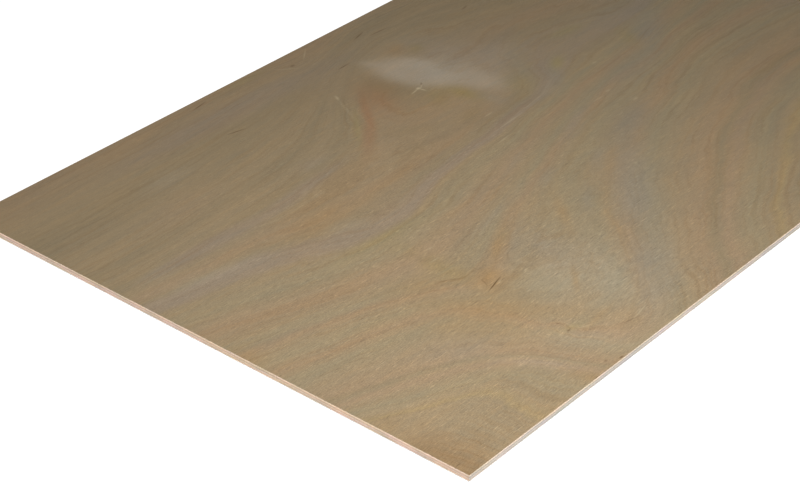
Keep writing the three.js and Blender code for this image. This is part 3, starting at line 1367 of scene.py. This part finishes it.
@dataclass
class Veneer:
    """One veneer of the sheet: a thin board with sawn edges, eased where it is an outside of the sheet.

    Attributes:
        name: The piece's name.
        node: The CAD node that it stands for.
        slot: The record's material slot that its finish belongs to. It is not used.
        length: Its size along the sheet.
        width: Its size across the sheet.
        bottom: The height of its lower side.
        top: The height of its upper side.
        grain: Which way its fibres run.
        end_tone: Its tone where the saw cut across the fibres.
        long_tone: Its tone where the saw cut along them.
        outside: Which of its sides is an outside of the sheet.
        figure: What its peeled side shows, on an outer veneer.
        cells: How many cells along each edge carry the figure.
        arris: The radius of the eased edges.
        facets: Flats that make up an eased edge.
        piece: The finished piece, once it is built.
    """

    name: str
    node: str
    slot: str
    length: float
    width: float
    bottom: float
    top: float
    grain: Grain
    end_tone: Tone
    long_tone: Tone
    outside: Outside = Outside.NONE
    figure: Figure | None = None
    cells: int = 1
    arris: float = 0.5
    facets: int = 4
    piece: bpy.types.Object | None = field(default=None, init=False)

    def build(self) -> bpy.types.Object:
        """Builds the veneer, dresses it and puts it in its CAD node's place.

        Returns:
            The finished piece.
        """
        board = bmesh.new()
        self._blank(board)
        if self.outside is not Outside.NONE:
            self._ease(board)
            self._divide(board)
        mesh = bpy.data.meshes.new(self.name)
        board.to_mesh(mesh)
        board.free()
        self._lay_bake_map(mesh)
        if self.figure is not None:
            self._lay_figure(mesh)
        mesh.materials.append(self._finish())
        self.piece = bpy.data.objects.new(self.name, mesh)
        bpy.context.scene.collection.objects.link(self.piece)
        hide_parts(self.node)
        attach(self.piece, BODY)
        log.info("%s: %d faces, %.2f to %.2f mm up", self.name, len(mesh.polygons), self.bottom, self.top)
        return self.piece

    def _blank(self, board: bmesh.types.BMesh) -> None:
        """Starts the board as a square-edged blank in its place.

        Args:
            board: The empty mesh that gets the blank.
        """
        corners = bmesh.ops.create_cube(board, size=1.0)["verts"]
        bmesh.ops.scale(
            board, vec=(self.length * MM, self.width * MM, (self.top - self.bottom) * MM), verts=corners
        )
        bmesh.ops.translate(board, vec=(0, 0, (self.top + self.bottom) / 2 * MM), verts=corners)

    def _ease(self, board: bmesh.types.BMesh) -> None:
        """Rounds the edges of the outside.

        Args:
            board: The blank.
        """
        height = (self.top if self.outside is Outside.ABOVE else self.bottom) * MM
        rim = [e for e in board.edges if all(abs(v.co.z - height) < SAME_M for v in e.verts)]
        bmesh.ops.bevel(
            board,
            geom=rim,
            offset=self.arris * MM,
            offset_type="OFFSET",
            affect="EDGES",
            segments=self.facets,
            profile=0.5,
            material=-1,
        )

    def _divide(self, board: bmesh.types.BMesh) -> None:
        """Cuts the outside and its eased edges into cells, which carry the figure.

        Args:
            board: The eased board.
        """
        glued = (self.bottom if self.outside is Outside.ABOVE else self.top) * MM
        level = [
            e
            for e in board.edges
            if abs(e.verts[0].co.z - e.verts[1].co.z) < SAME_M
            and abs(e.verts[0].co.z - glued) > SAME_M
            and e.calc_length() > CORNER_M
        ]
        bmesh.ops.subdivide_edges(board, edges=level, cuts=self.cells - 1, use_grid_fill=True)
        bmesh.ops.recalc_face_normals(board, faces=board.faces[:])

    def _lay_bake_map(self, mesh: bpy.types.Mesh) -> None:
        """Gives the mesh a map of its own for baking, most of it for the side that can be seen.

        Args:
            mesh: The veneer's mesh.
        """
        corners = gather(mesh.loops, "vertex_index", kind=np.int32)
        x, y, z = (gather(mesh.vertices, "co", width=3)[corners] / MM).T
        counts = gather(mesh.polygons, "loop_total", kind=np.int32)
        nx, ny, nz = np.repeat(gather(mesh.polygons, "normal", width=3), counts, axis=0).T
        along = x / self.length + 0.5
        across = y / self.width + 0.5
        inset = np.minimum(self.length / 2 - np.abs(x), self.width / 2 - np.abs(y))
        rise = (z - self.bottom) if self.outside is not Outside.BELOW else (self.top - z)
        thick = self.top - self.bottom
        rise = (rise + inset * (np.abs(nz) < FLAT)) / (thick + self.arris)
        flat_up = nz > FLAT
        flat_down = nz < -FLAT
        if self.outside is Outside.BELOW:
            flat_up, flat_down = flat_down, flat_up
        layout = INNER_MAP if self.outside is Outside.NONE else OUTER_MAP
        spread = 1 - 2 * layout.margin
        u = layout.margin + spread * np.where(np.abs(nx) > np.abs(ny), across, along)
        v = np.zeros(len(u))
        start = layout.rim
        for side in (ny < -SIDEWAYS, ny > SIDEWAYS, nx < -SIDEWAYS, nx > SIDEWAYS):
            side = side & ~flat_up & ~flat_down
            v[side] = start + layout.strip * rise[side]
            start += layout.strip + layout.gap
        u[flat_up | flat_down] = layout.margin + spread * along[flat_up | flat_down]
        v[flat_down] = start + layout.spare * across[flat_down]
        start += layout.spare + layout.gap
        v[flat_up] = start + min(layout.broad, 1 - layout.rim - start) * across[flat_up]
        layer = mesh.uv_layers.new(name=BAKE_MAP)
        layer.data.foreach_set("uv", np.stack([u, v], axis=1).astype(np.float32).ravel())

    def _lay_figure(self, mesh: bpy.types.Mesh) -> None:
        """Writes the figure's ring level and stains on the mesh.

        Args:
            mesh: The veneer's mesh.
        """
        places = gather(mesh.vertices, "co", width=3) / MM
        along, across = places[:, 0] + self.length / 2, places[:, 1] + self.width / 2
        ring = mesh.attributes.new(RING_ATTRIBUTE, "FLOAT", "POINT")
        ring.data.foreach_set("value", (self.figure.levels(along, across) / RING_SCALE).astype(np.float32))
        stain = mesh.attributes.new(STAIN_ATTRIBUTE, "FLOAT_COLOR", "POINT")
        stain.data.foreach_set("color", self.figure.stained(along, across).astype(np.float32).ravel())

    def _finish(self) -> bpy.types.Material:
        """Makes the veneer's material: sawn wood at its edges, and peeled wood on an outside.

        Returns:
            The material.
        """
        # Bare hardwood looks warm and matt. The sander leaves a faint sheen on a peeled side, and the saw
        # leaves its edges rougher, paler and fully matt. The face veneer's edge is paler still, partly
        # because a highlight is painted there.
        wood = "sawn_hardwood" if self.figure is None else "peeled_and_sanded_hardwood"
        material = bpy.data.materials.new(f"{wood}_{self.name}")
        material.use_nodes = True
        tree = material.node_tree
        tree.nodes.clear()
        where = add_node(tree, "ShaderNodeTexCoord")
        place, normal = where.outputs["Object"], where.outputs["Normal"]
        sawn = SawnVeneer(
            self.grain,
            self.end_tone,
            self.long_tone,
            self.bottom,
            self.top,
            glued_below=self.outside is not Outside.BELOW,
            glued_above=self.outside is not Outside.ABOVE,
        )
        surface = sawn.surface(tree, place, normal)
        if self.figure is not None:
            peeled = PeeledVeneer(self.figure, self.length, self.width, self.arris)
            surface = peeled.laid_over(surface, tree, place, normal)
        BareHardwood().finish(tree, surface)
        return material


@dataclass
class PlywoodSheet:
    """The sheet: five veneers of one thickness, pressed crosswise and trimmed to one outline.

    Attributes:
        length: The sheet's size along the grain of its face.
        width: Its size across it.
        veneer: The thickness of each veneer.
    """

    length: float = 2438.4
    width: float = 1219.2
    veneer: float = 2.54

    def build(self) -> list[bpy.types.Object]:
        """Builds the veneers from the back up.

        Returns:
            The pieces, lowest first.
        """
        return [veneer.build() for veneer in self._lay_up()]

    def _lay_up(self) -> list[Veneer]:
        """Lists the veneers from the back up, each with its grain square to the one before.

        Returns:
            The veneers, lowest first.
        """
        face_wood = {"slot": "face_wood", "grain": Grain.ALONG}
        cross_wood = {
            "slot": "crossband_wood",
            "grain": Grain.ACROSS,
            "end_tone": Tone.CROSS_END,
            "long_tone": Tone.CROSS_LONG,
        }
        core_wood = {
            "slot": "core_wood",
            "grain": Grain.ALONG,
            "end_tone": Tone.CORE_END,
            "long_tone": Tone.CORE_LONG,
        }
        back = {"end_tone": Tone.BACK_END, "long_tone": Tone.BACK_LONG, "figure": BACK_FIGURE, "cells": 96}
        face = {"end_tone": Tone.FACE_END, "long_tone": Tone.FACE_LONG, "figure": FACE_FIGURE, "cells": 256}
        plans = (
            ("back_ply", "back_veneer", {**face_wood, **back, "outside": Outside.BELOW}),
            ("lower_cross_ply", "lower_crossband", cross_wood),
            ("core_ply", "core_veneer", core_wood),
            ("upper_cross_ply", "upper_crossband", cross_wood),
            ("face_ply", "face_veneer", {**face_wood, **face, "outside": Outside.ABOVE}),
        )
        return [
            Veneer(
                name=name,
                node=node,
                length=self.length,
                width=self.width,
                bottom=i * self.veneer,
                top=(i + 1) * self.veneer,
                **details,
            )
            for i, (name, node, details) in enumerate(plans)
        ]


@dataclass(frozen=True)
class LowLight:
    """A soft light from just above the floor, for the sheet's edges.

    Attributes:
        name: Its name.
        strength: Its strength.
        height: Degrees that it stands above the floor.
        heading: Degrees that it shines away from +Y, towards -X when positive.
        spread: How wide it is, in degrees.
        mirrored: Whether the face's sheen shows it.
    """

    name: str
    strength: float
    height: float
    heading: float
    spread: float
    mirrored: bool = True

    def build(self, tint: Triple) -> None:
        """Sets the light.

        Args:
            tint: Its colour.
        """
        light = bpy.data.lights.new(self.name, "SUN")
        light.energy = self.strength
        light.color = tint
        light.angle = math.radians(self.spread)
        low = bpy.data.objects.new(self.name, light)
        low.rotation_euler = (math.radians(90 - self.height), 0.0, math.radians(self.heading))
        low.visible_glossy = self.mirrored
        bpy.context.scene.collection.objects.link(low)


@dataclass
class Studio:
    """A pale floor under soft light, which falls off from the sheet's near left corner.

    Attributes:
        lamp_place_m: Where the soft overhead lamp hangs.
        lamp_size_m: Its diameter.
        lamp_power: Its power, in watts.
        lamp_tint: Its colour.
        fill_tint: The colour of the fill lights, and that of the surroundings as a light.
        near_fill: The light on the two near edges.
        far_fill: The light on the two far edges.
        ambient: How bright the white surroundings light the sheet.
        floor_size_m: The floor's size.
        floor_gap: How far the floor lies below the sheet.
        floor_paint: The floor's colour where it throws light back on the sheet.
        floor_shown: Its colour as it is looked at.
        floor_glow: How bright it looks where no light falls on it.
        white: The colour of that glow, and of the surroundings as they are looked at.
    """

    lamp_place_m: Triple = (-1.05, -0.68, 1.65)
    lamp_size_m: float = 1.0
    lamp_power: float = 22.1
    lamp_tint: Triple = (1.0, 0.99, 0.975)
    fill_tint: Triple = (0.96, 1.0, 1.03)
    near_fill: LowLight = LowLight("near_fill", 2.35, height=8.0, heading=-48.0, spread=16.0)
    far_fill: LowLight = LowLight("far_fill", 1.4, height=4.0, heading=132.0, spread=7.0, mirrored=False)
    ambient: float = 0.05
    floor_size_m: float = 30.0
    floor_gap: float = 0.1
    floor_paint: str = "e7e7e7"
    floor_shown: str = "cbcbcb"
    floor_glow: float = 0.9
    white: str = "ffffff"

    def build(self) -> None:
        """Builds the floor, the surroundings and the lamps."""
        self._floor()
        self._surroundings()
        self._lamps()

    @staticmethod
    def _seen(tree: Tree) -> Socket:
        """Adds the nodes that tell rays that see the background from rays that gather light.

        Args:
            tree: The node tree.

        Returns:
            A socket that is 1 for camera, glossy and transmission rays.
        """
        path = add_node(tree, "ShaderNodeLightPath")
        mirrored = add_node(
            tree,
            "ShaderNodeMath",
            {0: path.outputs["Is Glossy Ray"], 1: path.outputs["Is Transmission Ray"]},
            operation="MAXIMUM",
        )
        return add_node(
            tree,
            "ShaderNodeMath",
            {0: path.outputs["Is Camera Ray"], 1: mirrored.outputs[0]},
            operation="MAXIMUM",
        ).outputs[0]

    def _floor(self) -> None:
        """Lays a painted white floor just under the sheet, which keeps the sheet's shadow."""
        ground = bmesh.new()
        bmesh.ops.create_grid(ground, x_segments=1, y_segments=1, size=self.floor_size_m / 2)
        bmesh.ops.translate(ground, vec=(0, 0, -self.floor_gap * MM), verts=ground.verts[:])
        mesh = bpy.data.meshes.new("floor")
        ground.to_mesh(mesh)
        ground.free()
        # Matt emulsion put on with a roller: it mirrors nothing, and shows only a soft shadow.
        material = bpy.data.materials.new("rolled_matt_white_emulsion")
        material.use_nodes = True
        tree = material.node_tree
        tree.nodes.clear()
        paint = add_node(tree, "ShaderNodeBsdfDiffuse", {"Color": linear(self.floor_paint)})
        shown = add_node(tree, "ShaderNodeBsdfDiffuse", {"Color": linear(self.floor_shown)})
        glow = add_node(
            tree, "ShaderNodeEmission", {"Color": linear(self.white), "Strength": self.floor_glow}
        )
        both = add_node(tree, "ShaderNodeAddShader", {0: shown.outputs[0], 1: glow.outputs[0]})
        mixed = add_node(
            tree, "ShaderNodeMixShader", {0: self._seen(tree), 1: paint.outputs[0], 2: both.outputs[0]}
        )
        add_node(tree, "ShaderNodeOutputMaterial", {0: mixed.outputs[0]})
        mesh.materials.append(material)
        floor = bpy.data.objects.new("floor", mesh)
        bpy.context.scene.collection.objects.link(floor)

    def _surroundings(self) -> None:
        """Makes the world white to look at and dimmer as a light."""
        world = bpy.data.worlds.new("surroundings")
        world.use_nodes = True
        tree = world.node_tree
        tree.nodes.clear()
        dim = add_node(
            tree, "ShaderNodeBackground", {"Color": (*self.fill_tint, 1.0), "Strength": self.ambient}
        )
        white = add_node(tree, "ShaderNodeBackground", {"Color": linear(self.white), "Strength": 1.0})
        mixed = add_node(
            tree, "ShaderNodeMixShader", {0: self._seen(tree), 1: dim.outputs[0], 2: white.outputs[0]}
        )
        add_node(tree, "ShaderNodeOutputWorld", {0: mixed.outputs[0]})
        bpy.context.scene.world = world

    def _lamps(self) -> None:
        """Hangs the soft overhead lamp and sets the low fill lights."""
        lamp = bpy.data.lights.new("overhead_lamp", "AREA")
        lamp.shape = "DISK"
        lamp.size = self.lamp_size_m
        lamp.energy = self.lamp_power
        lamp.color = self.lamp_tint
        overhead = bpy.data.objects.new("overhead_lamp", lamp)
        overhead.location = self.lamp_place_m
        overhead.visible_camera = False
        bpy.context.scene.collection.objects.link(overhead)
        for low_light in (self.near_fill, self.far_fill):
            low_light.build(self.fill_tint)


@dataclass
class Viewpoint:
    """The camera, which looks down on the sheet over its near left corner.

    Attributes:
        place_m: Where it stands.
        pitch: Degrees that it looks down.
        heading: Degrees that it is turned from +Y, towards -X when positive.
        lens: Its focal length.
        film: How wide its film is.
        near_m: The nearest that it sees.
        far_m: The furthest that it sees.
    """

    place_m: Triple = (-3.2997, -2.2260, 2.1068)
    pitch: float = 32.4356
    heading: float = -49.7587
    lens: float = 94.748
    film: float = 36.0
    near_m: float = 0.05
    far_m: float = 60.0

    def build(self) -> None:
        """Sets up the camera and makes it the scene's."""
        optics = bpy.data.cameras.new("viewpoint")
        optics.sensor_width = self.film
        optics.lens = self.lens
        optics.clip_start = self.near_m
        optics.clip_end = self.far_m
        camera = bpy.data.objects.new("viewpoint", optics)
        camera.location = self.place_m
        camera.rotation_euler = (math.radians(90 - self.pitch), 0.0, math.radians(self.heading))
        bpy.context.scene.collection.objects.link(camera)
        bpy.context.scene.camera = camera


def main() -> None:
    """Builds the scene: the camera, the sheet and the studio."""
    logging.basicConfig(level=logging.INFO, format="%(name)s: %(message)s")
    bpy.context.scene.view_settings.view_transform = "Standard"
    Viewpoint().build()
    pieces = PlywoodSheet().build()
    log.info("sheet: %d veneers", len(pieces))
    Studio().build()


if __name__ == "__main__":
    main()
